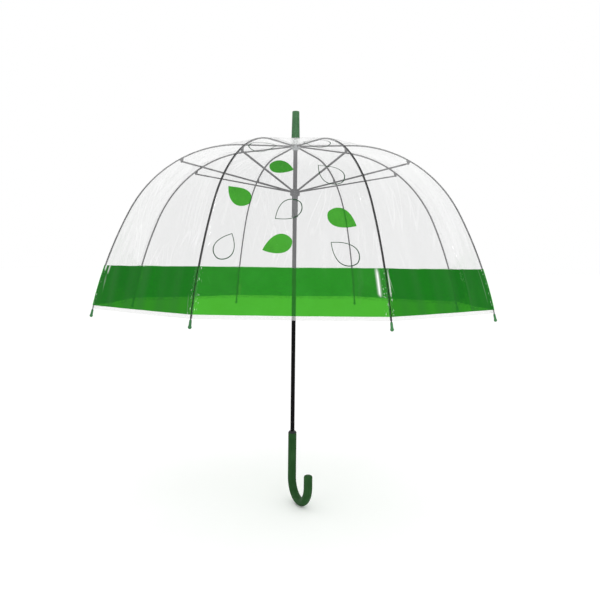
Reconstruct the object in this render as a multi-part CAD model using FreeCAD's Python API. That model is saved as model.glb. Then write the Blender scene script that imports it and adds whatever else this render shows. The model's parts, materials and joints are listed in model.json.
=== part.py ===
import FreeCAD, Part

import os
from math import cos, pi, radians, sin, tan

V = FreeCAD.Vector

# A stick umbrella with a deep clear dome, open and upright. Millimetres, +Z up.
# The origin is on the shaft's axis, in the middle of the straight part of the grip.
# The flat-hemmed front panel faces -Y, and the crook opens towards -Y and a little to +X.

# ---- driving dimensions ----
RIB_COUNT = 8
RIB_LENGTH = 592.0        # along the rib, from its pivot at the crown to the end of the tip cap
CROWN_Z = 635.2           # height of the ribs' pivots
PIVOT_R = 8.0             # radius of the pivot circles on the crown and on the runner

# the rib's line, from the crown outwards: a straight spoke, a round shoulder, a flatter skirt
SPOKE_DROP = radians(2.7)
SPOKE_LENGTH = 111.0
SHOULDER_RADIUS = 255.0
SHOULDER_LENGTH = 269.0
SKIRT_RADIUS = 760.0

RIB_WIDTH, RIB_TOP, RIB_BOTTOM = 2.8, 1.2, -1.3   # the rib's channel section, about its line
SHEET = 0.5               # thickness of the steel that ribs and stretchers are pressed from
END_R = 1.15              # the ribs' round ends, inside the tip caps
BEND_S = 246.0            # distance along the rib to the place where it bends as it closes
CAP_S = 578.0             # distance along the rib to the mouth of the tip cap
BRACKET_R, BRACKET_Z = 236.5, 588.5   # the pin that joins a rib to its stretcher
RUNNER_Z = 2 * BRACKET_Z - CROWN_Z    # the stretchers' pivots, as far below the pins as the crown is above

SHAFT_R, SHAFT_WALL = 4.25, 0.7
SHAFT_BOTTOM, SHAFT_TOP = -38.0, 690.0
FERRULE_BOTTOM, FERRULE_TOP = 652.0, 707.7
FERRULE_R_BOTTOM, FERRULE_R_TOP = 8.6, 7.3

GRIP_R = 8.5
GRIP_HALF = 45.0          # half of the straight grip
CROOK_RADIUS = 38.5       # of the crook's centre line
CROOK_RISE = 24.0         # the straight end beyond the half circle
CROOK_AZIMUTH = -65.0
COLLAR_HEIGHT = 4.0

FILM = 0.2                # the film
FILM_OFFSET = 2.0         # from the rib's line out to the film
FILM_START = 4.5          # distance along the rib to the film's edge at the crown
HEM_Z = 306.0
SEAM = 0.1                # half of the gap between neighbouring panels

WIRE_R = 0.45             # the wires that thread the pivots
EYE_THICK, EYE_R = 1.2, 1.7
CLEAR_OF_EYE = 4.3        # from a pivot to where the full section starts
BRACKET_EYE, BRACKET_GAP, BRACKET_PLATE, RIVET_R = 1.5, 1.6, 0.7, 0.75
PLAY = 0.1                # radial play of the pivots
FIT = 0.1                 # radial play of the runner on the shaft

CATCH_WIDTH, CATCH_REACH = 1.4, 6.9
WINDOW_LOW, WINDOW_HIGH = 493.0, 505.6   # the runner's windows for the two catches
CLOSED_R = 24.0           # radius of the bracket pins when the umbrella is closed
PIN_R, PIN_Z = 0.9, 601.0  # the anchored end of the top catch's spring

STEP = 360.0 / RIB_COUNT
HALF = radians(STEP / 2)
SHOULDER_END = SPOKE_LENGTH + SHOULDER_LENGTH


# ---- the rib's line, in the plane of one rib: X outwards, Z up ----
def station(s, offset=0.0):
    """The point at distance s along the rib, moved outwards by offset, and the slope there."""
    slope = SPOKE_DROP
    straight = min(s, SPOKE_LENGTH)
    x = PIVOT_R + straight * cos(slope)
    z = CROWN_Z - straight * sin(slope)
    for start, end, radius in (
        (SPOKE_LENGTH, SHOULDER_END, SHOULDER_RADIUS),
        (SHOULDER_END, RIB_LENGTH * 2, SKIRT_RADIUS),
    ):
        if s > start:
            turned = slope + (min(s, end) - start) / radius
            x += radius * (sin(turned) - sin(slope))
            z += radius * (cos(turned) - cos(slope))
            slope = turned
    return V(x + offset * sin(slope), 0, z + offset * cos(slope)), slope


def rib_edges(s0, s1, offset=0.0):
    """The line and arcs of the rib's line between two distances along it."""
    marks = [s0] + [m for m in (SPOKE_LENGTH, SHOULDER_END) if s0 < m < s1] + [s1]
    edges = []
    for a, b in zip(marks, marks[1:]):
        start, middle, end = (station(s, offset)[0] for s in (a, (a + b) / 2, b))
        if b <= SPOKE_LENGTH:
            edges.append(Part.makeLine(start, end))
        else:
            edges.append(Part.Arc(start, middle, end).toShape())
    return edges


def channel_outline(width, top, bottom):
    """A channel that opens downwards, as (sideways, outwards) points."""
    w, inside, web = width / 2, width / 2 - SHEET, top - SHEET
    return [
        (-w, bottom), (-w, top), (w, top), (w, bottom),
        (inside, bottom), (inside, web), (-inside, web), (-inside, bottom),
    ]


def rib_channel(s0, s1):
    point, slope = station(s0)
    outwards = V(sin(slope), 0, cos(slope))
    corners = [
        point + V(0, side, 0) + outwards * out
        for side, out in channel_outline(RIB_WIDTH, RIB_TOP, RIB_BOTTOM)
    ]
    ring = Part.makePolygon(corners + corners[:1])
    return Part.Wire(rib_edges(s0, s1)).makePipeShell([ring], True, False)


def rod(s0, s1, radius):
    point, slope = station(s0)
    ring = Part.Wire(Part.makeCircle(radius, point, V(cos(slope), 0, -sin(slope))))
    return Part.Wire(rib_edges(s0, s1)).makePipeShell([ring], True, False)


def between(block, start, end):
    """Lay a block that was drawn along X on the line between two pivots."""
    block.Placement = FreeCAD.Placement(start, FreeCAD.Rotation(V(1, 0, 0), end - start))
    return block


def tongue(start, end, thick, length):
    """The flat end of a stretcher, from its pivot inwards."""
    return between(Part.makeBox(length, thick, 2.4, V(0, -thick / 2, -1.2)), start, end)


def disc(point, radius, thick):
    """A round plate on an axis along Y, centred on the plane of the rib."""
    return Part.makeCylinder(radius, thick, point - V(0, thick / 2, 0), V(0, 1, 0))


def revolved(outline):
    """A solid of revolution about Z from (radius, height) points."""
    face = Part.Face(Part.makePolygon([V(r, 0, z) for r, z in outline + outline[:1]]))
    return face.revolve(V(0, 0, 0), V(0, 0, 1), 360)


def around(shape, azimuth):
    turned = shape.copy()
    turned.rotate(V(0, 0, 0), V(0, 0, 1), azimuth)
    return turned


def rib_azimuth(n):
    """Rib 1 is at the front, right of the front panel, and the ribs count anticlockwise."""
    return -90 + STEP / 2 + STEP * (n - 1)


crown_pivot = V(PIVOT_R, 0, CROWN_Z)
runner_pivot = V(PIVOT_R, 0, RUNNER_Z)
bracket_pin = V(BRACKET_R, 0, BRACKET_Z)


# ---- one rib: inner rod with its eye and its bracket, outer rod, tip cap ----
def rib_inner():
    flat = Part.makeBox(8, EYE_THICK, RIB_TOP - RIB_BOTTOM, V(0, -EYE_THICK / 2, RIB_BOTTOM))
    flat.Placement = FreeCAD.Placement(
        crown_pivot, FreeCAD.Rotation(V(0, 1, 0), SPOKE_DROP * 180 / pi)
    )
    shape = rib_channel(CLEAR_OF_EYE, BEND_S - 0.15)
    shape = shape.fuse([flat, disc(crown_pivot, EYE_R, EYE_THICK)])
    shape = shape.cut(disc(crown_pivot, WIRE_R + PLAY, 3))
    # the bracket: two plates clipped on the rod, and the rivet through them
    foot_a, foot_b = station(BEND_S - 16, 0.4)[0], station(BEND_S - 5, 0.4)[0]
    side = V(0, BRACKET_GAP / 2, 0)
    outline = [bracket_pin + V(-2.1, 0, 0.6), foot_a, foot_b, bracket_pin + V(2.1, 0, 0.6)]
    plate = Part.Face(Part.makePolygon(outline + outline[:1]))
    for sign in (1, -1):
        cheek = plate.extrude(V(0, BRACKET_PLATE * sign, 0))
        cheek.translate(side * sign)
        ear = disc(bracket_pin, 2.2, BRACKET_PLATE)
        ear.translate(V(0, sign * (BRACKET_GAP + BRACKET_PLATE) / 2, 0))
        shape = shape.fuse([cheek, ear])
    rivet = disc(bracket_pin, RIVET_R, BRACKET_GAP + 2 * BRACKET_PLATE + 0.8)
    return shape.fuse(rivet).removeSplitter()


def rib_outer():
    return rib_channel(BEND_S + 0.15, CAP_S - 2.5).fuse(rod(CAP_S - 5, CAP_S + 6, END_R))


def rib_tip():
    """A cap pushed on the rib's end: a slim neck that swells into a round bulb."""
    mouth, slope = station(CAP_S)
    along = V(cos(slope), 0, -sin(slope))
    neck_end, bulb_r = RIB_LENGTH - CAP_S - 5.5, 3.0
    neck = Part.makeCone(1.95, 2.3, neck_end + 1, mouth, along)
    bulb = Part.makeSphere(bulb_r, mouth + along * (RIB_LENGTH - CAP_S - bulb_r))
    shape = neck.fuse(bulb).removeSplitter()
    return shape.cut(rod(CAP_S - 0.5, CAP_S + 6.2, END_R + 0.03))


# ---- one stretcher: a bar with a thin eye at the runner and a thicker one in the bracket ----
def stretcher():
    length = (bracket_pin - runner_pivot).Length - 2 * CLEAR_OF_EYE
    section = [V(CLEAR_OF_EYE, side, out) for side, out in channel_outline(2.6, 1.4, -1.4)]
    shape = Part.Face(Part.makePolygon(section + section[:1])).extrude(V(length, 0, 0))
    shape = between(shape, runner_pivot, bracket_pin).fuse(
        [
            tongue(runner_pivot, bracket_pin, EYE_THICK, 10),
            tongue(bracket_pin, runner_pivot, BRACKET_EYE, 10),
            disc(runner_pivot, EYE_R, EYE_THICK),
            disc(bracket_pin, 2.0, BRACKET_EYE),
        ]
    )
    holes = disc(runner_pivot, WIRE_R + PLAY, 3).fuse(disc(bracket_pin, RIVET_R + PLAY, 3))
    return shape.cut(holes).removeSplitter()


# ---- one panel of film, in the plane through its middle: X outwards ----
def film_panel(s0, s1):
    """Film between two ribs: every level line runs straight across from rib to rib."""
    inner = rib_edges(s0, s1, FILM_OFFSET)
    outer = rib_edges(s0, s1, FILM_OFFSET + FILM)
    start = Part.makeLine(station(s0, FILM_OFFSET)[0], station(s0, FILM_OFFSET + FILM)[0])
    end = Part.makeLine(station(s1, FILM_OFFSET)[0], station(s1, FILM_OFFSET + FILM)[0])
    section = Part.Face(Part.Wire(Part.__sortEdges__(inner + [end] + outer + [start])))
    section = around(section, -STEP / 2)
    reach = 2 * (station(s1, FILM_OFFSET + FILM)[0].x + 5) * sin(HALF)
    sheet = section.extrude(V(0, reach, 0))
    apex, far = SEAM / sin(HALF), 600.0
    spread = (far - apex) * tan(HALF)
    wedge = Part.Face(
        Part.makePolygon([V(apex, 0, HEM_Z), V(far, -spread, HEM_Z), V(far, spread, HEM_Z), V(apex, 0, HEM_Z)])
    ).extrude(V(0, 0, CROWN_Z + 50 - HEM_Z))
    return sheet.common(wedge)


# ---- crown and runner: notched discs with a threaded wire ----
def wire_ring(pivot_z):
    return Part.makeTorus(PIVOT_R, WIRE_R, V(0, 0, pivot_z))


def notched(body, pivot_z, low, high):
    """Cut a slot for each rib or stretcher, and the groove that the wire lies in."""
    for n in range(1, RIB_COUNT + 1):
        slot = Part.makeBox(8, EYE_THICK + 0.3, high - low, V(6.2, -(EYE_THICK + 0.3) / 2, low))
        body = body.cut(around(slot, rib_azimuth(n)))
    groove_r = PIVOT_R - WIRE_R - 0.05
    groove = revolved(
        [(groove_r, pivot_z - 0.5), (12, pivot_z - 0.5), (12, pivot_z + 0.5), (groove_r, pivot_z + 0.5)]
    )
    return body.cut(groove)


def crown():
    low, high = CROWN_Z - 3.0, CROWN_Z + 3.2
    body = revolved(
        [
            (SHAFT_R, CROWN_Z - 8.5), (5.6, CROWN_Z - 8.5), (6.1, CROWN_Z - 8.0), (6.1, low),
            (9.6, low), (10.0, low + 0.4), (10.0, high - 0.4), (9.6, high), (SHAFT_R, high),
        ]
    )
    return notched(body, CROWN_Z, low - 1, CROWN_Z + 1.9)


def runner():
    low, high, bottom = RUNNER_Z - 7.8, RUNNER_Z + 3.0, 489.6
    bore = SHAFT_R + FIT
    body = revolved(
        [
            (bore, bottom), (6.3, bottom), (6.8, bottom + 0.5), (6.8, bottom + 2.2), (6.1, bottom + 3.0),
            (6.1, low - 2.0), (8.0, low), (9.6, low), (10.0, low + 0.4), (10.0, high - 0.4),
            (9.6, high), (6.1, high), (6.1, high + 2.4), (5.6, high + 2.9), (bore, high + 2.9),
        ]
    )
    body = notched(body, RUNNER_Z, RUNNER_Z - 1.9, high + 1)
    for azimuth in (0, 90):
        window = Part.makeBox(
            8, CATCH_WIDTH + 0.8, WINDOW_HIGH - WINDOW_LOW, V(2, -(CATCH_WIDTH + 0.8) / 2, WINDOW_LOW)
        )
        body = body.cut(around(window, azimuth))
    return body


# ---- catches: leaf noses that stand out of slots in the shaft ----
def closed_drop():
    """How far the runner's windows come down when the umbrella is closed."""
    arm = (bracket_pin - crown_pivot).Length
    return 2 * ((arm**2 - (CLOSED_R - PIVOT_R) ** 2) ** 0.5 - (CROWN_Z - BRACKET_Z))


TOP_CATCH_SHOULDER = WINDOW_HIGH - 0.1
BOTTOM_CATCH_SHOULDER = WINDOW_LOW - closed_drop() + 0.1


def catch(shoulder_z, ramp):
    """A nose with a flat shoulder at shoulder_z that slopes away over the ramp's height."""
    outline = [
        V(1.8, 0, shoulder_z), V(CATCH_REACH, 0, shoulder_z), V(CATCH_REACH, 0, shoulder_z + ramp * 0.2),
        V(SHAFT_R - 0.4, 0, shoulder_z + ramp), V(1.8, 0, shoulder_z + ramp),
    ]
    face = Part.Face(Part.makePolygon(outline + outline[:1]))
    nose = face.extrude(V(0, CATCH_WIDTH, 0))
    nose.translate(V(0, -CATCH_WIDTH / 2, 0))
    return nose


def shaft():
    tube = Part.makeCylinder(SHAFT_R, SHAFT_TOP - SHAFT_BOTTOM, V(0, 0, SHAFT_BOTTOM))
    tube = tube.cut(
        Part.makeCylinder(SHAFT_R - SHAFT_WALL, SHAFT_TOP - SHAFT_BOTTOM, V(0, 0, SHAFT_BOTTOM))
    )
    for azimuth, low, high in (
        (0, TOP_CATCH_SHOULDER - 12.6, TOP_CATCH_SHOULDER + 0.6),
        (90, BOTTOM_CATCH_SHOULDER - 0.6, BOTTOM_CATCH_SHOULDER + 12.6),
    ):
        slot = Part.makeBox(4, CATCH_WIDTH + 0.4, high - low, V(2, -(CATCH_WIDTH + 0.4) / 2, low))
        tube = tube.cut(around(slot, azimuth))
    return tube.cut(Part.makeCylinder(PIN_R, 6, V(2, 0, PIN_Z), V(1, 0, 0)))


def spring_pin():
    return Part.makeCylinder(PIN_R, 4.2, V(2.6, 0, PIN_Z), V(1, 0, 0))


# ---- handle ----
def handle():
    bottom = V(0, 0, -GRIP_HALF)
    path = Part.Wire(
        [
            Part.makeLine(V(0, 0, GRIP_HALF), bottom),
            Part.Arc(
                bottom, V(CROOK_RADIUS, 0, -GRIP_HALF - CROOK_RADIUS), V(2 * CROOK_RADIUS, 0, -GRIP_HALF)
            ).toShape(),
            Part.makeLine(
                V(2 * CROOK_RADIUS, 0, -GRIP_HALF), V(2 * CROOK_RADIUS, 0, CROOK_RISE - GRIP_HALF)
            ),
        ]
    )
    ring = Part.Wire(Part.makeCircle(GRIP_R, V(0, 0, GRIP_HALF), V(0, 0, 1)))
    crook = path.makePipeShell([ring], True, False)
    end_z = CROOK_RISE - GRIP_HALF
    crook = crook.makeFillet(
        3.0, [e for e in crook.Edges if e.BoundBox.XMin > CROOK_RADIUS and abs(e.BoundBox.ZMin - end_z) < 0.01
              and e.BoundBox.ZLength < 0.01]
    )
    bore = Part.makeCylinder(SHAFT_R, GRIP_HALF - SHAFT_BOTTOM, V(0, 0, SHAFT_BOTTOM))
    return around(crook.cut(bore), CROOK_AZIMUTH)


def collar():
    low, high = GRIP_HALF, GRIP_HALF + COLLAR_HEIGHT
    return revolved([(SHAFT_R, low), (GRIP_R, low), (GRIP_R, low + 1.2), (6.6, high), (SHAFT_R, high)])


def top_cap():
    """The frosted cap that clamps the film's middle on the crown."""
    low = CROWN_Z + 3.2
    return revolved(
        [
            (SHAFT_R, low), (14.0, low), (14.0, low + 0.7), (10.4, low + 1.6),
            (9.3, low + 4.0), (8.8, FERRULE_BOTTOM), (SHAFT_R, FERRULE_BOTTOM),
        ]
    )


def ferrule():
    shape = revolved(
        [
            (SHAFT_R, FERRULE_BOTTOM), (FERRULE_R_BOTTOM, FERRULE_BOTTOM), (FERRULE_R_TOP, FERRULE_TOP),
            (0, FERRULE_TOP), (0, SHAFT_TOP), (SHAFT_R, SHAFT_TOP),
        ]
    )
    rim = [e for e in shape.Edges if e.BoundBox.ZMin > FERRULE_TOP - 0.01 and e.Length > 2]
    return shape.makeFillet(1.2, rim)


nodes = {
    "shaft": shaft(),
    "ferrule": ferrule(),
    "top_cap": top_cap(),
    "crown": crown(),
    "crown_wire": wire_ring(CROWN_Z),
    "runner": runner(),
    "runner_wire": wire_ring(RUNNER_Z),
    "top_catch": catch(TOP_CATCH_SHOULDER, -12.0),
    "bottom_catch": around(catch(BOTTOM_CATCH_SHOULDER, 12.0), 90),
    "spring_pin": spring_pin(),
    "handle": handle(),
    "handle_collar": collar(),
}
repeated = {
    "rib_{}_inner": rib_inner(),
    "rib_{}_outer": rib_outer(),
    "rib_tip_{}": rib_tip(),
    "stretcher_{}": stretcher(),
}
panels = {
    "canopy_panel_{}_upper": film_panel(FILM_START, BEND_S - SEAM),
    "canopy_panel_{}_lower": film_panel(BEND_S + SEAM, CAP_S),
}
for n in range(1, RIB_COUNT + 1):
    for name, shape in repeated.items():
        nodes[name.format(n)] = around(shape, rib_azimuth(n))
    for name, shape in panels.items():
        nodes[name.format(n)] = around(shape, rib_azimuth(n) - STEP / 2)

os.makedirs("parts", exist_ok=True)
for name, shape in nodes.items():
    if len(shape.Solids) != 1 or not shape.isValid():
        raise ValueError(f"{name} has {len(shape.Solids)} solids, valid: {shape.isValid()}")
    shape.Solids[0].exportStep(f"parts/{name}.step")
    box = shape.BoundBox
    print(f"{name}: {box.XLength:.1f} x {box.YLength:.1f} x {box.ZLength:.1f} mm, {shape.Volume:.1f} mm3")
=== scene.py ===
import json
from math import cos, pi, radians, sin

import bpy
import numpy as np
from mathutils import Matrix, Vector

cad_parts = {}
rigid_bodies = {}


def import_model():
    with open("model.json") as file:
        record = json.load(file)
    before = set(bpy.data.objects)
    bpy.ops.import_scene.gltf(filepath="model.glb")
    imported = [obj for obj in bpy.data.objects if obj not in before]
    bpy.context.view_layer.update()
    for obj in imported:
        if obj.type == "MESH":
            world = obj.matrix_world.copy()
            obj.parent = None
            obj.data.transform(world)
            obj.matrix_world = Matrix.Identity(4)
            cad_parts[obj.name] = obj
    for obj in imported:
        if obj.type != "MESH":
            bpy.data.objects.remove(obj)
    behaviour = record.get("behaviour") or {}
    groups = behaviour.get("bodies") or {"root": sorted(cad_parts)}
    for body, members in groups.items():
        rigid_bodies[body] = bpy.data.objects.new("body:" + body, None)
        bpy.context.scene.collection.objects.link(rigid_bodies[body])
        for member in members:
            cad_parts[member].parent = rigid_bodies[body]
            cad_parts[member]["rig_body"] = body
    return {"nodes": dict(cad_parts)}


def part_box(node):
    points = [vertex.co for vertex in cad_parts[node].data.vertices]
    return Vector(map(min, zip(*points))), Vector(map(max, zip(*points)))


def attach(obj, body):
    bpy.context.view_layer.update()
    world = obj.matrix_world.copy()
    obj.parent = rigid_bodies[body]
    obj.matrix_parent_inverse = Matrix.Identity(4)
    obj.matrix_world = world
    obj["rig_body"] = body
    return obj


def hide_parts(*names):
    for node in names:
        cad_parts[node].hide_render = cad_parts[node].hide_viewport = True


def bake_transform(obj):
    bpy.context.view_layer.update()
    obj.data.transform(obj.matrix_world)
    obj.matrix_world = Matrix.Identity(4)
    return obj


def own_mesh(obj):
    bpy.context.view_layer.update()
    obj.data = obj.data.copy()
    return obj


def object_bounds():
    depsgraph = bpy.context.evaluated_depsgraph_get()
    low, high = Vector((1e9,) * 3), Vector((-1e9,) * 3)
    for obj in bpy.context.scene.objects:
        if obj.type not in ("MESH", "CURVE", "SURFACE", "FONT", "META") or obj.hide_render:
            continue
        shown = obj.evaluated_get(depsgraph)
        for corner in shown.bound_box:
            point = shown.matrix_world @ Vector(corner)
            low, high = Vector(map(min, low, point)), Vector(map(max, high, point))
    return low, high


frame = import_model()
cad_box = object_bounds()

# A clear bubble umbrella, open and upright. Metres, in the frame of the CAD model:
# the origin is on the shaft's axis in the middle of the grip, +Z up, the front panel faces -Y.

# ---- driving dimensions, the same as the CAD model's ----
RIB_COUNT = 8
PIVOT_R, CROWN_Z = 0.008, 0.6352
SPOKE_DROP, SPOKE_LENGTH = radians(2.7), 0.111
SHOULDER_RADIUS, SHOULDER_LENGTH = 0.255, 0.269
SKIRT_RADIUS = 0.760
RIB_LENGTH, BEND_S, CAP_S = 0.592, 0.246, 0.578
RIB_WIDTH, RIB_TOP, RIB_BOTTOM, RIB_SHEET = 0.0028, 0.0012, -0.0013, 0.0005
RIB_CORNER, RIB_END_R = 0.0006, 0.00115
FILM_LIFT, FILM_START, HEM_Z = 0.0020, 0.0045, 0.3060
GRIP_R, GRIP_HALF, CROOK_RADIUS, CROOK_RISE = 0.0085, 0.045, 0.0385, 0.024
CROOK_AZIMUTH = radians(-65)

# ---- the canopy's look ----
BAND_TOP_Z, BAND_LOW_Z = 0.3866, 0.3125   # edges of the printed band
ROW, COLUMNS = 0.006, 128                 # the film's mesh: height of a row, columns in a panel
FILM_DIP = 0.004                          # how far a panel's middle is drawn in at the hem
HEM_FOLD = 0.0065                         # width of the turned-up hem
SEAM_HALF = 0.005                         # half of the welded strip over each rib
SEAM_START, SEAM_GAP = 0.014, 0.001       # where the strip starts, and how far it ends from the hem
SEAM_BLEND = 0.003                        # half of the length over which a strip bends
RIB_FLEX = (0.004, 0.044)                 # start and end of a rib's flexing part, past the bend
LAYER = 0.00025                           # distance between layers that lie on each other
SOFT_FOLDS, PLEATS = 16, 3                # folds in a panel, and pleats along each of its ribs
WAVE_RISE, WAVE_LEAN = 0.0004, 9          # height of the slow waves, and how fast they drift
FLAT_TOP = 0.15                           # the folds fade out above this distance along the rib
CREASE_SEED = 40                          # each panel adds its number to it

STEP = 2 * pi / RIB_COUNT
HALF = STEP / 2
SHOULDER_END = SPOKE_LENGTH + SHOULDER_LENGTH


# ---- geometry of the rib's line and of the film ----
def station(s, lift=0.0):
    """Radius, height and slope at distance s along a rib, moved outwards by lift."""
    slope = SPOKE_DROP
    straight = min(s, SPOKE_LENGTH)
    r = PIVOT_R + straight * cos(slope)
    z = CROWN_Z - straight * sin(slope)
    for start, end, radius in (
        (SPOKE_LENGTH, SHOULDER_END, SHOULDER_RADIUS),
        (SHOULDER_END, RIB_LENGTH * 2, SKIRT_RADIUS),
    ):
        if s > start:
            turned = slope + (min(s, end) - start) / radius
            r += radius * (sin(turned) - sin(slope))
            z += radius * (cos(turned) - cos(slope))
            slope = turned
    return r + lift * sin(slope), z + lift * cos(slope), slope


def distance_at(height):
    """Distance along the rib at which the film has this height."""
    low, high = 0.0, RIB_LENGTH
    for _ in range(40):
        middle = (low + high) / 2
        low, high = (middle, high) if station(middle, FILM_LIFT)[1] > height else (low, middle)
    return low


def rib_azimuth(n):
    return -pi / 2 + HALF + STEP * (n - 1)


def panel_azimuth(n):
    return rib_azimuth(n) - HALF


def directions(azimuth):
    """Outwards and sideways unit vectors of the upright plane at this azimuth."""
    return Vector((cos(azimuth), sin(azimuth), 0)), Vector((-sin(azimuth), cos(azimuth), 0))


def rib_point(n, s):
    r, z, _ = station(s)
    outwards, _ = directions(rib_azimuth(n))
    return outwards * r + Vector((0, 0, z))


BAND_TOP_S, BAND_LOW_S, HEM_S = (distance_at(z) for z in (BAND_TOP_Z, BAND_LOW_Z, HEM_Z))


def creases(panel, s, side, half):
    """How far the film stands out of its plane: soft folds that run down the panel."""
    random = np.random.default_rng(CREASE_SEED + panel)
    height = np.zeros_like(side)
    for _ in range(SOFT_FOLDS):
        at, drift = random.uniform(-0.92, 0.92), random.uniform(-0.25, 0.25)
        middle, reach = random.uniform(0.18, 0.55), random.uniform(0.04, 0.13)
        width, rise = random.uniform(0.004, 0.014), random.uniform(-0.0007, 0.0011)
        line = (at + drift * (s - middle) / RIB_LENGTH) * half
        height += rise * np.exp(-(((side - line) / width) ** 2) - ((s - middle) / reach) ** 2)
    for edge in (-1, 1):  # tight pleats that run along the two ribs
        for _ in range(PLEATS):
            away, lean = random.uniform(0.008, 0.022), random.uniform(-0.04, 0.04)
            middle, reach = random.uniform(0.30, 0.52), random.uniform(0.03, 0.09)
            width, rise = random.uniform(0.0026, 0.0040), random.uniform(0.0004, 0.0010)
            line = edge * (half - away) + lean * (s - middle)
            height += rise * np.exp(-(((side - line) / width) ** 2) - ((s - middle) / reach) ** 2)
    waves = random.uniform(0, 2 * pi, 3)  # the phases of three slow waves
    for k, phase in enumerate(waves):
        length = 0.008 + 0.006 * k
        height += WAVE_RISE * np.sin(side / length + s * WAVE_LEAN * (k - 1) + phase)
    held = 1 - (side / half) ** 8  # the folds fade out where the film is welded to a rib
    return height * held * np.clip(s / FLAT_TOP, 0, 1)


def film_point(panel, s, side, lift=0.0):
    """Points of a panel's film: s along the rib, side across from its middle, as arrays."""
    lines = np.array([station(x, FILM_LIFT) for x in s.ravel()]).reshape(*s.shape, 3)
    r, z, slope = lines[..., 0], lines[..., 1], lines[..., 2]
    half = r * sin(HALF)
    share = side / half
    dip = FILM_DIP * (s / HEM_S) * (1 - share**2)
    rise = creases(panel, s, side, half) + lift - dip
    out = r * cos(HALF) + rise * np.sin(slope)
    up = z + rise * np.cos(slope)
    azimuth = panel_azimuth(panel)
    return np.stack(
        [
            out * cos(azimuth) - side * sin(azimuth),
            out * sin(azimuth) + side * cos(azimuth),
            up,
        ],
        axis=-1,
    )


# painted highlights along creases: panel, which of its two ribs, distance from that rib,
# heights of the upper and lower end, half width, brightness
PAINTED_GLINTS = (
    (1, 1, 0.0140, 0.3900, 0.3430, 0.0020, 1.00),
    (1, 1, 0.0260, 0.4700, 0.4000, 0.0022, 0.60),
    (1, -1, 0.0240, 0.5050, 0.4500, 0.0020, 0.60),
    (2, -1, 0.0050, 0.3860, 0.3440, 0.0012, 0.75),
    (8, -1, 0.0080, 0.4180, 0.3760, 0.0018, 1.00),
    (8, -1, 0.0210, 0.3980, 0.3740, 0.0015, 0.80),
    (8, -1, 0.0420, 0.4700, 0.4000, 0.0026, 0.55),
    (8, 1, 0.0180, 0.5200, 0.4050, 0.0026, 0.70),
    (8, 1, 0.0300, 0.5250, 0.4300, 0.0024, 0.60),
    (8, 1, 0.0520, 0.5400, 0.4500, 0.0028, 0.60),
    (8, 1, 0.0740, 0.5300, 0.4600, 0.0026, 0.50),
)


def glints(panel, s, side, half):
    """Strength of the painted highlights along the listed creases, from 0 to 1."""
    bright = np.zeros_like(side)
    for where, edge, away, upper, lower, width, share in PAINTED_GLINTS:
        if where == panel:
            start, end = distance_at(upper), distance_at(lower)
            along = np.clip((s - start) / (end - start), 0, 1)
            taper = np.clip(4 * np.minimum(along, 1.15 - along) * (s > start) * (s < end), 0, 1)
            line = edge * (half - away)
            bright += share * taper * np.exp(-(((side - line) / width) ** 2))
    return np.clip(bright, 0, 1)


def rows_between(*marks):
    """Evenly spaced distances that include each mark."""
    rows = []
    for a, b in zip(marks, marks[1:]):
        count = max(1, round((b - a) / ROW))
        rows += [a + (b - a) * i / count for i in range(count)]
    return rows + [marks[-1]]


# ---- mesh building ----
def grid_faces(rows, columns, wrap=False):
    """Quads of a grid of vertices; wrap joins the last column to the first."""
    return [
        (r * columns + c, (r + 1) * columns + c, (r + 1) * columns + (c + 1) % columns,
         r * columns + (c + 1) % columns)
        for r in range(rows - 1)
        for c in range(columns if wrap else columns - 1)
    ]


def make_piece(name, points, faces, material, uv=None, **values):
    """An object from points and faces; values become attributes of its points."""
    mesh = bpy.data.meshes.new(name)
    mesh.from_pydata([tuple(p) for p in points], [], faces)
    if uv is not None:
        layer = mesh.uv_layers.new(name="metres")
        corners = np.zeros(len(mesh.loops), int)
        mesh.loops.foreach_get("vertex_index", corners)
        layer.data.foreach_set("uv", np.asarray(uv, np.float32)[corners].ravel())
    for key, numbers in values.items():
        mesh.attributes.new(key, "FLOAT", "POINT").data.foreach_set(
            "value", np.asarray(numbers, np.float32).ravel()
        )
    for one in material if isinstance(material, (list, tuple)) else [material]:
        mesh.materials.append(one)
    mesh.polygons.foreach_set("use_smooth", [True] * len(mesh.polygons))
    piece = bpy.data.objects.new(name, mesh)
    bpy.context.scene.collection.objects.link(piece)
    return piece


def sweep(rings):
    """Vertices and faces of a closed tube through rings of points, with its two ends."""
    count, sides = len(rings), len(rings[0])
    points = [p for ring in rings for p in ring]
    faces = grid_faces(count, sides, wrap=True)
    faces += [tuple(range(sides)), tuple(range((count - 1) * sides, count * sides))[::-1]]
    return points, faces


def angles(count):
    """Evenly spaced angles round a circle."""
    return [2 * pi * i / count for i in range(count)]


def turned(outline, sides=64):
    """Rings of a turned shape about the shaft's axis, from (radius, height) points."""
    return [[Vector((r * cos(a), r * sin(a), z)) for a in angles(sides)] for r, z in outline]


# ---- materials ----
def add(tree, kind, inputs=None, **settings):
    """Add a node; its inputs are numbers, colours or the outputs of other nodes."""
    node = tree.nodes.new("ShaderNode" + kind)
    for key, value in settings.items():
        setattr(node, key, value)
    for key, value in (inputs or {}).items():
        if isinstance(value, bpy.types.NodeSocket):
            tree.links.new(value, node.inputs[key])
        else:
            node.inputs[key].default_value = value
    return node


def new_material(name, **constants):
    """A material with one Principled shader, its constant values set on its own sockets."""
    material = bpy.data.materials.new(name)
    material.use_nodes = True
    tree = material.node_tree
    tree.nodes.clear()
    shader = add(tree, "BsdfPrincipled", {k.replace("_", " "): v for k, v in constants.items()})
    output = add(tree, "OutputMaterial", {"Surface": shader.outputs[0]})
    return material, tree, shader, output


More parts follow.
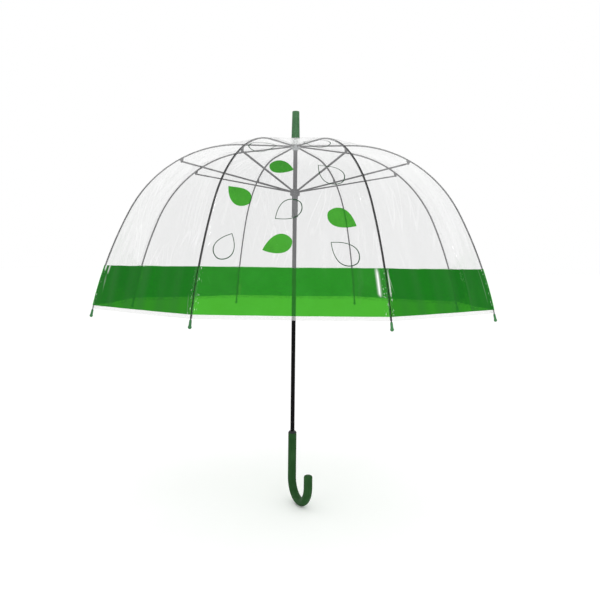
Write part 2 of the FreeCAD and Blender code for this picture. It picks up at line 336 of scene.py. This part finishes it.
def ramp(tree, factor, *stops):
    """A colour ramp through (position, grey or colour) stops."""
    node = add(tree, "ValToRGB", {"Fac": factor})
    elements = node.color_ramp.elements
    while len(elements) < len(stops):
        elements.new(0.5)
    for element, (position, colour) in zip(elements, stops):
        element.position = position
        element.color = (colour,) * 3 + (1,) if isinstance(colour, (int, float)) else (*colour, 1)
    return node.outputs["Color"]


def spread(tree, factor, low, high):
    """A factor from 0 to 1 spread over a range of values."""
    return add(tree, "MapRange", {"Value": factor, "To Min": low, "To Max": high}).outputs["Result"]


def noise(tree, vector, scale, detail, stretch=None, distortion=0.0):
    """Noise at this scale per metre, drawn out along an axis by stretch."""
    if stretch:
        vector = add(tree, "Mapping", {"Vector": vector, "Scale": stretch}).outputs[0]
    return add(
        tree, "TexNoise",
        {"Vector": vector, "Scale": scale, "Detail": detail, "Distortion": distortion},
    ).outputs["Fac"]


def bump(tree, shader, height, distance, strength, under=None):
    """Drive the shader's normal by height, on top of the normal under."""
    inputs = {"Height": height, "Distance": distance, "Strength": strength}
    if under:
        inputs["Normal"] = under
    normal = add(tree, "Bump", inputs).outputs[0]
    tree.links.new(normal, shader.inputs["Normal"])
    return normal


def metres(tree):
    """Distances across and along the film, laid out by the panel's number."""
    return add(tree, "UVMap", uv_map="metres").outputs[0]


def place(tree):
    return add(tree, "TexCoord").outputs["Object"]


def see_through(tree, shader, output, tint, share):
    """Show share of what lies behind the shader, tinted."""
    clear = add(tree, "BsdfTransparent", {"Color": (*tint, 1)})
    mix = add(tree, "MixShader", {0: share, 1: shader.outputs[0], 2: clear.outputs[0]})
    tree.links.new(mix.outputs[0], output.inputs["Surface"])


def maths(tree, operation, first, second, clamp=False):
    node = add(tree, "Math", {0: first, 1: second}, operation=operation, use_clamp=clamp)
    return node.outputs[0]


def rib_nearness(tree, near, far, at_rib, away):
    """A factor that runs from at_rib to away with the distance from the nearest rib."""
    from_rib = add(tree, "Attribute", attribute_name="from_rib").outputs["Fac"]
    return add(
        tree, "MapRange",
        {"Value": from_rib, "From Min": near, "From Max": far, "To Min": at_rib, "To Max": away},
    ).outputs["Result"]


def film_surface(tree, shader):
    """The film's soft streaks, and painted highlights along creases, as factors from 0 to 1."""
    uv = metres(tree)
    streaks = noise(tree, uv, 1.0, 1.0, stretch=(36, 2.6, 1), distortion=0.3)
    folds = noise(tree, uv, 1.0, 0.5, stretch=(17, 2.2, 1), distortion=0.6)
    first = bump(tree, shader, folds, 0.0010, 0.5)
    bump(tree, shader, streaks, 0.0002, 0.3, under=first)
    # painted highlights: thin leaning lines in patches, bright streaks that stand in for light on
    # creases
    leaning = add(tree, "Mapping", {"Vector": uv, "Rotation": (0, 0, 0.22)}).outputs[0]
    lines = noise(tree, leaning, 1.0, 0.0, stretch=(44, 3.4, 1), distortion=0.4)
    thin = ramp(tree, lines, (0.465, 0.0), (0.5, 1.0), (0.535, 0.0))
    patches = ramp(tree, noise(tree, uv, 9.0, 1.0), (0.44, 0.0), (0.60, 1.0))
    panel = add(tree, "SeparateXYZ", {"Vector": uv}).outputs["X"]
    wear_and_highlight = add(
        tree, "MapRange",
        {"Value": panel, "From Min": 1.5, "From Max": 7.5, "To Min": 0.35, "To Max": 1.0},
    ).outputs["Result"]  # each panel gets stronger painted crease highlights than the one before it
    return streaks, maths(tree, "MULTIPLY", maths(tree, "MULTIPLY", thin, patches), wear_and_highlight)


def edge_view(tree):
    """How far the surface is turned away from being seen square on, from 0 to 1."""
    return add(tree, "LayerWeight", {"Blend": 0.5}).outputs["Facing"]


def film_material(name, least, most, face_tone, edge_tone, on_rib=0.10, marks=0.9, edge_haze_and_sheen=0.13):
    """Clear vinyl: soft streaks and painted crease highlights; whiter where it is seen edge on,
    partly from the film's haze and partly as a painted reflection.

    least and most are the range of its alpha, on_rib the share of it left against a rib, and
    marks how strongly the painted crease highlights clear it, so that the white behind shows.
    """
    material, tree, shader, _ = new_material(name, IOR=1.46)
    shader.inputs["Specular IOR Level"].default_value = 0.4
    streaks, crease_highlights = film_surface(tree, shader)
    haze = noise(tree, metres(tree), 9.0, 2.0)
    edge_on = maths(tree, "POWER", edge_view(tree), 3.0)
    near_rib = rib_nearness(tree, 0.0016, 0.0040, on_rib, 1.0)
    clear = maths(tree, "MULTIPLY", spread(tree, streaks, least, most), near_rib)
    # less clear edge on: partly the film's haze over a slanted path, partly a painted reflection
    film = maths(tree, "ADD", clear, spread(tree, edge_on, 0.0, edge_haze_and_sheen), clamp=True)
    # painted highlights: the crease lines and the listed glints clear the film into bright streaks
    wear_and_highlight = maths(tree, "MULTIPLY", crease_highlights, rib_nearness(tree, 0.0030, 0.0060, 0.0, marks))
    glint = add(tree, "Attribute", attribute_name="glint").outputs["Fac"]
    painted_highlight = maths(tree, "MAXIMUM", wear_and_highlight, glint)
    alpha = maths(tree, "MULTIPLY", film, spread(tree, painted_highlight, 1.0, 0.08))
    tree.links.new(alpha, shader.inputs["Alpha"])
    # paler tone edge on: partly the film's haze, partly a painted reflection
    tone = ramp(tree, edge_on, (0.02, face_tone), (0.41, edge_tone))
    tree.links.new(tone, shader.inputs["Base Color"])
    tree.links.new(spread(tree, haze, 0.03, 0.09), shader.inputs["Roughness"])
    return material


def ink_material(
    name, deep, bright, through, share, on_rib=0.90, marks=0.9, away=(0.004, 0.140, 0.006)
):
    """Ink on the film: a translucent coat that tints what shows through it.

    Its colour runs from deep to bright, and to away where it is turned away from the viewer,
    partly for the longer path through the ink at a slant and partly as painted shade.
    share is how much shows through it, tinted by through, and on_rib how much shows right over
    a rib. marks is the strength of the painted highlights: white creases and sparkle specks beside
    the ribs.
    """
    material, tree, shader, output = new_material(name, IOR=1.46)
    shader.inputs["Specular IOR Level"].default_value = 0.06
    streaks, crease_highlights = film_surface(tree, shader)
    cloud = noise(tree, metres(tree), 22.0, 3.0)
    facing = edge_view(tree)
    # painted shade, partly real: darker where turned from the viewer, for the side panels' weaker
    # light and the longer path through the ink
    turned_away = add(
        tree, "MapRange", {"Value": facing, "From Min": 0.05, "From Max": 0.40},
    ).outputs["Result"]
    green = ramp(tree, cloud, (0.3, deep), (0.7, bright))
    shaded = add(
        tree, "MixRGB", {"Fac": turned_away, "Color1": green, "Color2": (*away, 1)},
    ).outputs[0]
    beside_rib = rib_nearness(tree, 0.0060, 0.0240, marks, 0.0)
    off_rib = rib_nearness(tree, 0.0026, 0.0034, 0.0, 1.0)
    # painted sparkle: white specks beside the ribs stand in for glints of light on the wrinkled
    # film
    sparkle_noise = noise(tree, metres(tree), 1.0, 1.0, stretch=(480, 170, 1))
    dots = ramp(tree, sparkle_noise, (0.66, 0.0), (0.71, 1.0))
    tight = maths(tree, "MULTIPLY", dots, rib_nearness(tree, 0.0075, 0.0105, marks, 0.0))
    painted_sparkles = maths(tree, "MAXIMUM", maths(tree, "MULTIPLY", crease_highlights, beside_rib), tight)
    glint = add(tree, "Attribute", attribute_name="glint").outputs["Fac"]
    painted_highlight = maths(tree, "MAXIMUM", maths(tree, "MULTIPLY", painted_sparkles, off_rib), glint)
    # painted highlights: the ink turns near white there and shows less of what is behind it
    colour = add(
        tree, "MixRGB", {"Fac": painted_highlight, "Color1": shaded, "Color2": (0.95, 0.97, 0.95, 1)},
    ).outputs[0]
    tree.links.new(colour, shader.inputs["Base Color"])
    tree.links.new(spread(tree, streaks, 0.04, 0.10), shader.inputs["Roughness"])
    straight = spread(tree, facing, share, share - 0.45)
    part = maths(tree, "ADD", straight, spread(tree, streaks, -0.02, 0.02), clamp=True)
    at_rib = maths(tree, "MAXIMUM", part, rib_nearness(tree, 0.0008, 0.0020, on_rib, 0.0))
    share_off_highlights = maths(tree, "SUBTRACT", at_rib, painted_highlight, clamp=True)
    see_through(tree, shader, output, through, share_off_highlights)
    return material


def coated_steel(name, dark, light, rough=(0.40, 0.60), shine=0.12):
    """Black-coated steel: a fine grain, and a coating rubbed thin in spots."""
    material, tree, shader, _ = new_material(name)
    shader.inputs["Specular IOR Level"].default_value = shine
    where = place(tree)
    marks = noise(tree, where, 900.0, 3.0)
    wear_and_highlight = noise(tree, where, 90.0, 5.0)
    tree.links.new(ramp(tree, wear_and_highlight, (0.35, dark), (0.75, light)), shader.inputs["Base Color"])
    tree.links.new(spread(tree, marks, *rough), shader.inputs["Roughness"])
    bump(tree, shader, marks, 0.00008, 0.4)
    return material


def bare_steel(name):
    """Bright drawn steel with a fine grain."""
    material, tree, shader, _ = new_material(name, Metallic=1.0)
    where = place(tree)
    grain = noise(tree, where, 1400.0, 4.0)
    tree.links.new(
        ramp(tree, grain, (0.3, (0.42, 0.43, 0.44)), (0.7, (0.62, 0.63, 0.64))),
        shader.inputs["Base Color"],
    )
    tree.links.new(spread(tree, grain, 0.2, 0.42), shader.inputs["Roughness"])
    bump(tree, shader, grain, 0.00005, 0.4)
    return material


def moulded_plastic(name, dark, light, rough=(0.35, 0.55), shine=0.2):
    """Moulded plastic: a fine spark-eroded grain over slow changes of colour."""
    material, tree, shader, _ = new_material(name)
    shader.inputs["Specular IOR Level"].default_value = shine
    where = place(tree)
    cloud = noise(tree, where, 45.0, 4.0)
    grain = noise(tree, where, 1500.0, 2.0)
    tree.links.new(ramp(tree, cloud, (0.3, dark), (0.72, light)), shader.inputs["Base Color"])
    tree.links.new(spread(tree, grain, *rough), shader.inputs["Roughness"])
    bump(tree, shader, grain, 0.0001, 0.6)
    return material


def frosted_plastic(name):
    """Cloudy plastic that lets part of what is behind it through."""
    material, tree, shader, _ = new_material(name, IOR=1.46)
    where = place(tree)
    cloud = noise(tree, where, 300.0, 3.0)
    tree.links.new(
        ramp(tree, cloud, (0.3, (0.86, 0.89, 0.88)), (0.7, (0.93, 0.95, 0.94))),
        shader.inputs["Base Color"],
    )
    tree.links.new(spread(tree, cloud, 0.45, 0.65), shader.inputs["Alpha"])
    tree.links.new(spread(tree, cloud, 0.3, 0.5), shader.inputs["Roughness"])
    bump(tree, shader, cloud, 0.0001, 0.4)
    return material


clear_film = film_material("clear_film", 0.230, 0.275, (0.57, 0.57, 0.578), (0.90, 0.90, 0.905))
hem_film = film_material(
    "hem_film", 0.26, 0.30, (0.72, 0.72, 0.72), (0.90, 0.90, 0.90), marks=0.0
)
weld_film = film_material(
    "weld_film", 0.010, 0.030, (0.60, 0.60, 0.61), (0.90, 0.90, 0.90),
    on_rib=1.0, marks=0.0, edge_haze_and_sheen=0.03,
)
band_ink = ink_material(
    "band_ink", (0.024, 0.180, 0.022), (0.032, 0.218, 0.030), (0.16, 0.93, 0.04), 0.31
)
leaf_ink = ink_material(
    "leaf_ink", (0.026, 0.205, 0.020), (0.034, 0.250, 0.026), (0.22, 0.93, 0.09), 0.32,
    on_rib=0.0, marks=0.0, away=(0.026, 0.190, 0.020),
)
line_ink = ink_material(
    "line_ink", (0.014, 0.055, 0.022), (0.020, 0.075, 0.030), (0.25, 0.60, 0.30), 0.0,
    on_rib=0.0, marks=0.0, away=(0.014, 0.055, 0.022),
)
rib_steel = coated_steel("rib_steel", (0.003, 0.0032, 0.0034), (0.012, 0.0125, 0.013))
shaft_steel = coated_steel(
    "shaft_steel", (0.0015, 0.0015, 0.0018), (0.0045, 0.0045, 0.0050), (0.26, 0.42), 0.06
)
pin_steel = bare_steel("pin_steel")
black_plastic = moulded_plastic("black_plastic", (0.010, 0.011, 0.012), (0.028, 0.030, 0.032))
ferrule_green = moulded_plastic(
    "ferrule_green", (0.044, 0.138, 0.054), (0.058, 0.165, 0.068), (0.30, 0.42), 0.15
)
handle_green = moulded_plastic(
    "handle_green", (0.014, 0.060, 0.014), (0.024, 0.084, 0.023), (0.42, 0.6), 0.07
)
tip_green = moulded_plastic(
    "tip_green", (0.030, 0.150, 0.045), (0.055, 0.220, 0.070), (0.22, 0.38)
)
crown_plastic = moulded_plastic("crown_plastic", (0.30, 0.32, 0.33), (0.42, 0.44, 0.45))
cap_frost = frosted_plastic("cap_frost")


# ---- the film: eight panels, each in two lengths that meet where the ribs bend ----
def film_normals(points):
    """Unit normals of a grid of points, facing outwards."""
    across = np.gradient(points, axis=1)
    down = np.gradient(points, axis=0)
    normals = np.cross(down, across)
    return normals / np.linalg.norm(normals, axis=-1, keepdims=True)


def squash_panel(piece):
    """Gives the film piece a mesh of its own."""
    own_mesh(piece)


def film_pieces(panel):
    """The upper and the lower length of a panel, cut from one grid of points."""
    upper = rows_between(FILM_START, BEND_S)
    lower = rows_between(BEND_S, BAND_TOP_S, BAND_LOW_S, HEM_S)
    rows = np.array(upper + lower[1:])
    half = np.array([station(s, FILM_LIFT)[0] for s in rows]) * sin(HALF)
    share = np.linspace(-1, 1, COLUMNS + 1)
    s = np.repeat(rows[:, None], COLUMNS + 1, axis=1)
    side = half[:, None] * share[None, :]
    points = film_point(panel, s, side)
    normals = film_normals(points)
    uv = np.stack([side + panel, s], axis=-1)
    # painted highlights, kept on the film as a point attribute
    bright = glints(panel, s, side, half[:, None])
    made = []
    bend = len(upper) - 1  # the row that both lengths share
    for name, body, a, b in (
        ("upper", f"panel_{panel}", 0, bend),
        ("lower", f"panel_{panel}_skirt", bend, len(rows) - 1),
    ):
        part = slice(a, b + 1)
        piece = make_piece(
            f"film_{panel}_{name}", points[part].reshape(-1, 3),
            grid_faces(b - a + 1, COLUMNS + 1), [clear_film, band_ink, hem_film],
            uv[part].reshape(-1, 2), from_rib=(half[:, None] - abs(side))[part],
            glint=bright[part],
        )
        middle = (rows[a:b] + rows[a + 1 : b + 1]) / 2
        slots = np.where(middle < BAND_TOP_S, 0, np.where(middle < BAND_LOW_S, 1, 2))
        piece.data.polygons.foreach_set("material_index", np.repeat(slots, COLUMNS))
        piece.data.normals_split_custom_set_from_vertices(normals[part].reshape(-1, 3))
        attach(piece, body)
        squash_panel(piece)
        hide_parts(f"canopy_panel_{panel}_{name}")
        made.append((piece, rows[a], rows[b], half[part], rows[part]))
    return made


def hem_piece(panel):
    """The hem's turned-up edge, inside the film."""
    rows = np.array([HEM_S, HEM_S - HEM_FOLD / 2, HEM_S - HEM_FOLD])
    lifts = np.array([0.0, -2 * LAYER, -2 * LAYER])
    half = np.array([station(s, FILM_LIFT)[0] for s in rows]) * sin(HALF)
    share = np.linspace(-1, 1, COLUMNS + 1)
    s = np.repeat(rows[:, None], COLUMNS + 1, axis=1)
    side = half[:, None] * share[None, :]
    points = film_point(panel, s, side, np.repeat(lifts[:, None], COLUMNS + 1, axis=1))
    piece = make_piece(
        f"hem_{panel}", points.reshape(-1, 3), grid_faces(3, COLUMNS + 1), hem_film,
        np.stack([side + panel, s], axis=-1).reshape(-1, 2), from_rib=half[:, None] - abs(side),
    )
    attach(piece, f"panel_{panel}_skirt")
    squash_panel(piece)
    return piece


# ---- the prints on the front panel: solid leaves and leaves in outline ----
LEAF_BLUNT, LEAF_FULLEST = 0.62, 0.34  # power that rounds the blunt end; the swell's maximum


def leaf_outline(length, width, count=72):
    """Points round a leaf on its first axis: its blunt end at the left, its tip at the right."""
    points = []
    for angle in angles(count):
        along = (1 - cos(angle)) / 2
        swell = along**LEAF_BLUNT * (1 - along) / LEAF_FULLEST
        points.append(((along - 0.5) * length, (swell if angle < pi else -swell) * width / 2))
    return points


def print_point(centre_s, centre_side, turn, x, y):
    """A print's own (x, y) as distances along and across the front panel."""
    return centre_s - (x * sin(turn) + y * cos(turn)), centre_side + x * cos(turn) - y * sin(turn)


def print_piece(name, rings, material, body, centre_s, centre_side, turn):
    """A band of ink between two or more rings of points, laid on the front panel's film."""
    flat = [print_point(centre_s, centre_side, turn, x, y) for ring in rings for x, y in ring]
    s, side = (np.array([p[k] for p in flat]) for k in (0, 1))
    points = film_point(1, s, side, LAYER)
    piece = make_piece(
        name, points, grid_faces(len(rings), len(rings[0]), wrap=True), material,
        np.stack([side + 1, s], axis=-1),
    )
    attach(piece, body)
    squash_panel(piece)
    return piece


def scaled(outline, share):
    return [(x * share, y * share) for x, y in outline]


# name, outline only, distance along the rib, sideways, length, width, turn in degrees
PRINTS = (
    ("leaf_1", False, 0.302, -0.0195, 0.0430, 0.0340, -20),
    ("leaf_2", False, 0.3660, -0.0880, 0.0486, 0.0328, 136),
    ("leaf_3", False, 0.409, 0.0796, 0.0520, 0.0340, -30),
    ("leaf_4", False, 0.455, -0.0235, 0.0500, 0.0325, 202),
    ("leaf_5", True, 0.4585, -0.1050, 0.0490, 0.0330, 66),
    ("leaf_6", True, 0.394, -0.0074, 0.0520, 0.0350, 218),
    ("leaf_7", True, 0.317, 0.0608, 0.0590, 0.0380, 132),
    ("leaf_8", True, 0.4675, 0.0821, 0.0554, 0.0360, 140),
    ("leaf_9", True, 0.2315, -0.0550, 0.0500, 0.0460, 8),
    ("leaf_10", True, 0.212, 0.0400, 0.0500, 0.0440, 172),
)
LINE_WIDTH = 0.0014


def prints():
    made = []
    for name, hollow, s, side, length, width, turn in PRINTS:
        outline = leaf_outline(length, width)
        if hollow:
            # drawn in a little more along its length, where the sides meet at the tip
            inner = leaf_outline(length - 2.4 * LINE_WIDTH, width - 2 * LINE_WIDTH)
            rings = [inner, outline]
            ink = line_ink
        else:
            rings = [scaled(outline, k / 6) for k in (0.05, 1, 2, 3, 4, 5, 6)]
            ink = leaf_ink
        body = "panel_1" if s < BEND_S else "panel_1_skirt"
        made.append((print_piece(name, rings, ink, body, s, side, radians(turn)), body))
    return made


# ---- strips of film welded over the ribs ----
def seam_piece(n):
    rows = rows_between(SEAM_START, HEM_S - SEAM_GAP)
    outwards, sideways = directions(rib_azimuth(n))
    across = (-1.0, -0.86, -0.5, 0.0, 0.5, 0.86, 1.0)
    points, uv = [], []
    for s in rows:
        r, z, slope = station(s, FILM_LIFT)
        reach = min(SEAM_HALF, r * 0.2)  # narrower towards the crown, where the ribs meet
        for share in across:
            side = reach * share
            fall = abs(side) * sin(HALF) / cos(HALF)
            lift = LAYER * (1.6 if abs(share) < 0.9 else 0.6)  # its edges lie closer to the film
            out = r - fall + lift * sin(slope)
            points.append(outwards * out + sideways * side + Vector((0, 0, z + lift * cos(slope))))
            uv.append((side + 20 + n, s))  # clear of the panels' own numbers, 1 to 8
    piece = make_piece(f"seam_{n}", points, grid_faces(len(rows), len(across)), weld_film, uv)
    start, end = rib_point(n, BEND_S - SEAM_BLEND), rib_point(n, BEND_S + SEAM_BLEND)
    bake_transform(piece)


def canopy():
    on_front = prints()
    for panel in range(1, RIB_COUNT + 1):
        hem = hem_piece(panel)
        for piece, start, end, half, rows in film_pieces(panel):
            body = piece["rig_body"]
            extras = [p for p, rides in on_front if panel == 1 and rides == body]
            if body.endswith("skirt"):
                extras.append(hem)
    for n in range(1, RIB_COUNT + 1):
        seam_piece(n)


# ---- the springy lower part of each rib ----
def channel_ring(point, sideways, outwards):
    """The rib's channel section, rounded at its outer corners."""
    w, web = RIB_WIDTH / 2, RIB_TOP - RIB_SHEET
    inside = w - RIB_SHEET
    outline = [(-w, RIB_BOTTOM)]
    for centre, start in ((-w + RIB_CORNER, pi), (w - RIB_CORNER, pi / 2)):
        for k in range(5):
            turn = start - k * pi / 8
            outline.append(
                (centre + RIB_CORNER * cos(turn), RIB_TOP - RIB_CORNER + RIB_CORNER * sin(turn))
            )
    outline += [(w, RIB_BOTTOM), (inside, RIB_BOTTOM), (inside, web)]
    outline += [(-inside, web), (-inside, RIB_BOTTOM)]
    return [point + sideways * a + outwards * b for a, b in outline]


def rib_frame(n, s):
    """The rib's line at s, with its sideways and outwards directions."""
    _, _, slope = station(s)
    out, sideways = directions(rib_azimuth(n))
    return rib_point(n, s), sideways, out * sin(slope) + Vector((0, 0, cos(slope)))


ROUND_END_SIDES = 16
# distance past the cap's mouth, share of the end's radius
ROUND_END = ((-0.005, 0.75), (-0.0028, 0.75), (-0.0024, 1.0), (0.006, 1.0))
BEND_CLEARANCE, CHANNEL_STOP = 0.00015, 0.0025  # from the inner length, and from the cap


def lower_rib(n):
    """The channel below the bend, and the round end that the tip's cap is pushed onto."""
    rows = rows_between(BEND_S + BEND_CLEARANCE, CAP_S - CHANNEL_STOP)
    points, faces = sweep([channel_ring(*rib_frame(n, s)) for s in rows])
    round_end = []
    for past_cap, share in ROUND_END:
        point, sideways, out = rib_frame(n, CAP_S + past_cap)
        radius = RIB_END_R * share
        round_end.append(
            [point + (sideways * cos(a) + out * sin(a)) * radius for a in angles(ROUND_END_SIDES)]
        )
    more_points, more_faces = sweep(round_end)
    faces += [tuple(i + len(points) for i in face) for face in more_faces]
    piece = make_piece(f"rib_{n}_flex", points + more_points, faces, rib_steel)
    piece.data.set_sharp_from_angle(angle=radians(40))
    start, end = (rib_point(n, BEND_S + away) for away in RIB_FLEX)
    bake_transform(piece)
    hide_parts(f"rib_{n}_outer")
    return piece


# ---- handle and ferrule ----
HANDLE_SIDES = 56


def handle_piece():
    """The round crook: a straight grip with an eased mouth, a half circle and a rounded end."""
    out, side = directions(CROOK_AZIMUTH)
    up = Vector((0, 0, 1))
    stations = []  # centre, direction of travel, radius
    mouth, rounding = 0.0007, 0.0042  # radii of the eased mouth and of the end's rim
    for k in range(5):
        turn = k * pi / 8
        centre = up * (GRIP_HALF - mouth + mouth * cos(turn))
        stations.append((centre, -up, GRIP_R - mouth + mouth * sin(turn)))
    straight, bends, rises = 14, 40, 5  # lengths of the grip, the half circle and the end
    for k in range(1, straight):
        centre = up * (GRIP_HALF - mouth) * (1 - 2 * k / straight)
        stations.append((centre, -up, GRIP_R))
    for k in range(bends + 1):
        turn = pi * k / bends
        centre = out * CROOK_RADIUS * (1 - cos(turn)) - up * (GRIP_HALF + CROOK_RADIUS * sin(turn))
        stations.append((centre, -up * cos(turn) + out * sin(turn), GRIP_R))
    end = out * 2 * CROOK_RADIUS - up * (GRIP_HALF - CROOK_RISE)
    for k in range(1, rises):
        centre = end - up * (CROOK_RISE - (CROOK_RISE - rounding) * k / rises)
        stations.append((centre, up, GRIP_R))
    for k in range(9):
        turn = pi / 2 * k / 8
        centre = end - up * rounding * (1 - sin(turn))
        stations.append((centre, up, GRIP_R - rounding * (1 - cos(turn))))
    rings = []
    for centre, travel, radius in stations:
        normal = travel.cross(side)
        rings.append(
            [centre + (side * cos(a) + normal * sin(a)) * radius for a in angles(HANDLE_SIDES)]
        )
    points, faces = sweep(rings)
    piece = make_piece("crook_handle", points, faces, handle_green)
    piece.data.set_sharp_from_angle(angle=radians(50))
    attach(piece, "shaft")
    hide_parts("handle")
    return piece


def ferrule_piece():
    low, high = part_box("ferrule")
    r_low, r_top, rounding, chamfer = 0.0086, 0.0073, 0.0012, 0.0004
    outline = [(r_low - chamfer, low.z), (r_low, low.z + chamfer)]
    for k in range(1, 9):
        z = low.z + chamfer + (high.z - rounding - low.z - chamfer) * k / 8
        outline.append((r_low + (r_top - r_low) * k / 8, z))
    for k in range(1, 7):
        turn = pi / 2 * k / 6
        outline.append((r_top - rounding * (1 - cos(turn)), high.z - rounding * (1 - sin(turn))))
    dimple = high.z - 0.0006
    outline += [(0.0040, high.z), (0.0034, dimple), (0.0030, dimple)]
    points, faces = sweep(turned(outline))
    faces = [face[::-1] for face in faces]
    piece = make_piece("ferrule_cap", points, faces, ferrule_green)
    piece.data.set_sharp_from_angle(angle=radians(35))
    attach(piece, "shaft")
    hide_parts("ferrule")
    return piece


def finish_nodes():
    """Materials for the CAD parts that are shown as they are."""
    finishes = {
        "shaft": shaft_steel, "crown": crown_plastic, "runner": black_plastic,
        "top_catch": pin_steel, "bottom_catch": pin_steel, "spring_pin": pin_steel,
        "crown_wire": pin_steel, "runner_wire": pin_steel,
        "top_cap": cap_frost, "handle_collar": black_plastic,
    }
    for n in range(1, RIB_COUNT + 1):
        finishes[f"rib_{n}_inner"] = finishes[f"stretcher_{n}"] = rib_steel
        finishes[f"rib_tip_{n}"] = tip_green
    for name, material in finishes.items():
        mesh = frame["nodes"][name].data
        mesh.materials.clear()
        mesh.materials.append(material)


# ---- surroundings ----
CAMERA_DISTANCE, CAMERA_AZIMUTH, CAMERA_RISE = 1.4154, radians(0.65), radians(0.02)
CAMERA_ROLL, EYE_LEVEL, LENS, SENSOR = radians(0.625), 0.3866, 41.18, 36.0
SHIFT_X, SHIFT_Y = 0.0097, -0.0548
STUDIO_TARGET = (0, 0, 0.4)  # what every lamp points at
STRIP_WIDTH, FLOOR_SIDES, FLOOR_GAP = 0.05, 48, 0.0002


def camera():
    data = bpy.data.cameras.new("camera")
    data.lens, data.sensor_width = LENS, SENSOR
    data.shift_x, data.shift_y = SHIFT_X, SHIFT_Y
    seen_from = bpy.data.objects.new("camera", data)
    bpy.context.scene.collection.objects.link(seen_from)
    level = cos(CAMERA_RISE)
    back = Vector((sin(CAMERA_AZIMUTH) * level, -cos(CAMERA_AZIMUTH) * level, sin(CAMERA_RISE)))
    seen_from.location = Vector((0, 0, EYE_LEVEL)) + back * CAMERA_DISTANCE
    turn = (-back).to_track_quat("-Z", "Y").to_matrix().to_4x4()
    seen_from.rotation_mode = "QUATERNION"
    seen_from.rotation_quaternion = (turn @ Matrix.Rotation(CAMERA_ROLL, 4, "Z")).to_quaternion()
    bpy.context.scene.camera = seen_from


def softbox(name, place_at, width, height, watts, gloss_only=False):
    """A rectangular lamp; gloss_only keeps its light off diffuse surfaces."""
    light = bpy.data.lights.new(name, "AREA")
    light.shape = "RECTANGLE"
    light.size, light.size_y, light.energy = width, height, watts
    lamp = bpy.data.objects.new(name, light)
    bpy.context.scene.collection.objects.link(lamp)
    lamp.visible_diffuse = not gloss_only
    lamp.location = place_at
    aim = Vector(STUDIO_TARGET) - Vector(place_at)
    lamp.rotation_euler = aim.to_track_quat("-Z", "Y").to_euler()


def studio():
    scene = bpy.context.scene
    world = bpy.data.worlds.new("studio")
    scene.world = world
    world.use_nodes = True
    tree = world.node_tree
    tree.nodes.clear()
    path = add(tree, "LightPath")
    white = add(tree, "Background", {"Color": (1, 1, 1, 1), "Strength": 1.0})
    dim = add(tree, "Background", {"Color": (1, 1, 1, 1), "Strength": 0.85})
    glossy = path.outputs["Is Glossy Ray"]
    mix = add(tree, "MixShader", {0: glossy, 1: white.outputs[0], 2: dim.outputs[0]})
    add(tree, "OutputWorld", {"Surface": mix.outputs[0]})
    scene.view_settings.view_transform = "Standard"
    softbox("key", (0.9, -2.4, 1.9), 1.2, 1.2, 11)
    for name, x, y, z, length, watts in (
        ("left_strip", -2.0, -0.3, 2.0, 2.2, 12),
        ("right_strip", 2.0, -0.3, 2.0, 2.2, 6),
        ("left_front_strip", -0.62, -1.9, 1.7, 2.0, 12),
        ("right_front_strip", 0.62, -1.9, 1.7, 2.0, 14),
    ):
        softbox(name, (x, y, z), STRIP_WIDTH, length, watts, gloss_only=True)


def pale_floor():
    """A round floor just below the crook, with a little emission that lifts it to white."""
    floor_z = cad_box[0].z - FLOOR_GAP
    rings = turned([(r, floor_z) for r in (0.001, 0.5, 2.0, 8.0, 60.0)], FLOOR_SIDES)
    points = [p for ring in rings for p in ring]
    material, ground, shader, _ = new_material("pale_floor")
    shader.inputs["Specular IOR Level"].default_value = 0.1
    speckle = noise(ground, place(ground), 14.0, 4.0)
    ground.links.new(
        ramp(ground, speckle, (0.3, (0.950, 0.950, 0.950)), (0.7, (0.960, 0.960, 0.960))),
        shader.inputs["Base Color"],
    )
    shader.inputs["Emission Color"].default_value = (1, 1, 1, 1)
    shader.inputs["Emission Strength"].default_value = 0.10
    ground.links.new(spread(ground, speckle, 0.8, 0.9), shader.inputs["Roughness"])
    floor = make_piece("floor", points, grid_faces(len(rings), FLOOR_SIDES, wrap=True), material)


camera()
studio()
pale_floor()
canopy()
for n in range(1, RIB_COUNT + 1):
    lower_rib(n)
handle_piece()
ferrule_piece()
finish_nodes()
